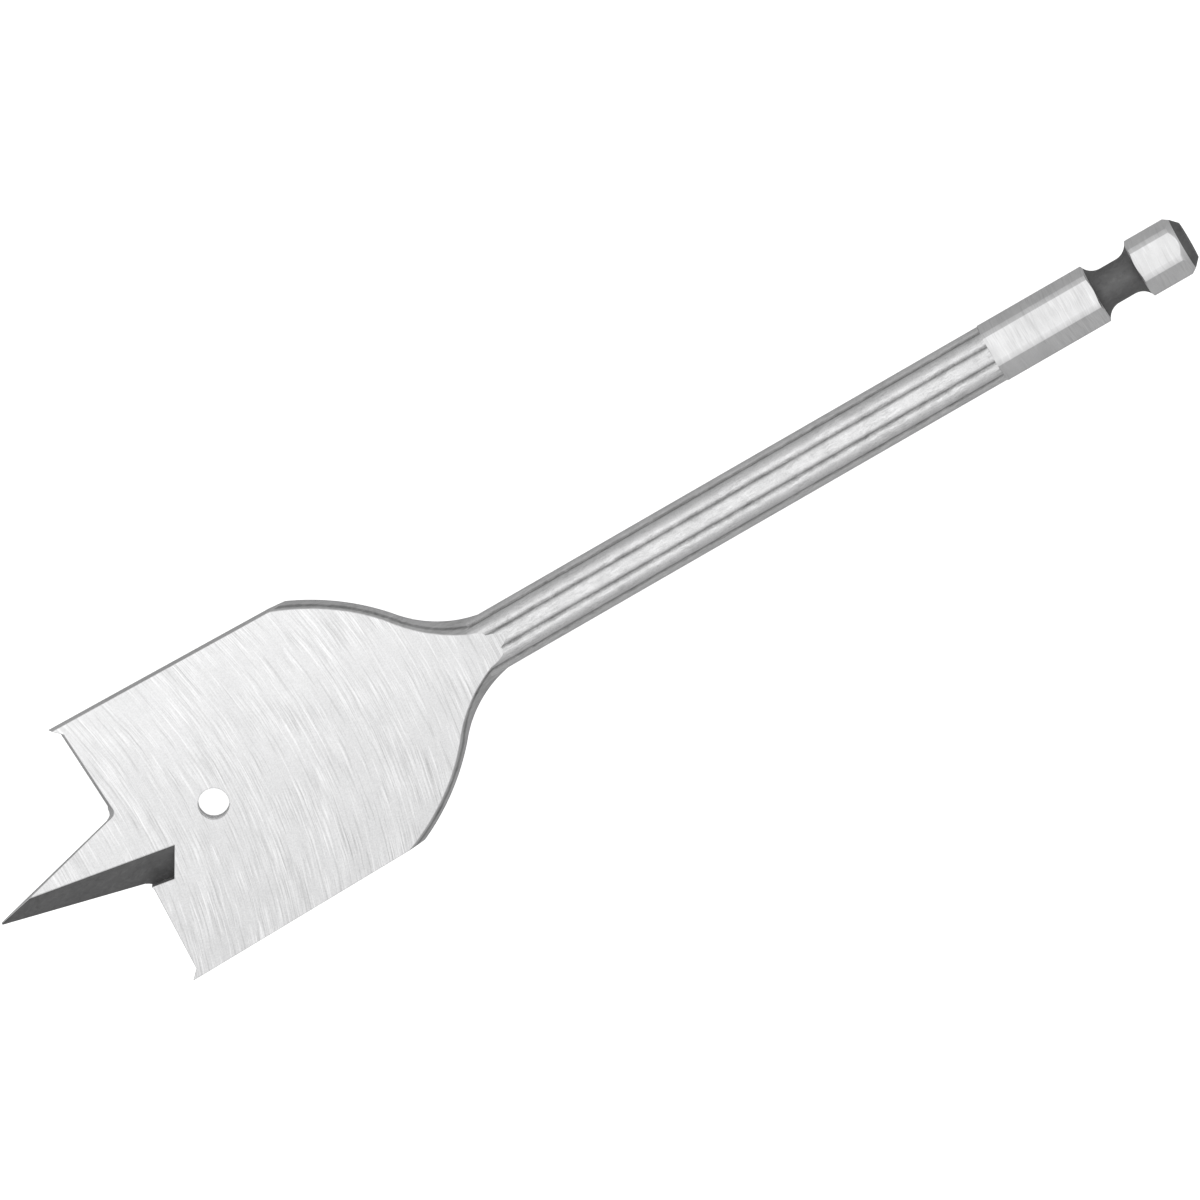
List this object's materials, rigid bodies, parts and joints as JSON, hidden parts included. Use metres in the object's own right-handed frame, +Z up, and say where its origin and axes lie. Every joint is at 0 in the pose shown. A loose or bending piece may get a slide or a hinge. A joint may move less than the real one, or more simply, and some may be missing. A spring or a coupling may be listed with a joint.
{
  "type": "spade drill bit",
  "caption": "Flat forged wood boring bit with a centre point, spurs and a round pull hole, on a reeded shaft with a hexagonal quick-change shank.",
  "frame": {"origin": "on the bit's axis, at the end face of the hexagonal shank", "axes": "+X along the bit's axis, out of the end of the shank; +Z up, with the bit lying as it rests on a bench"},
  "size_m": [0.152, 0.0322, 0.007],
  "materials": {
    "ground_steel": "satin ground steel, with a dark finish in the point's hollows, the retaining groove and the end taper"
  },
  "bodies": {
    "root": {"spade_bit": "ground_steel"}
  },
  "joints": []
}
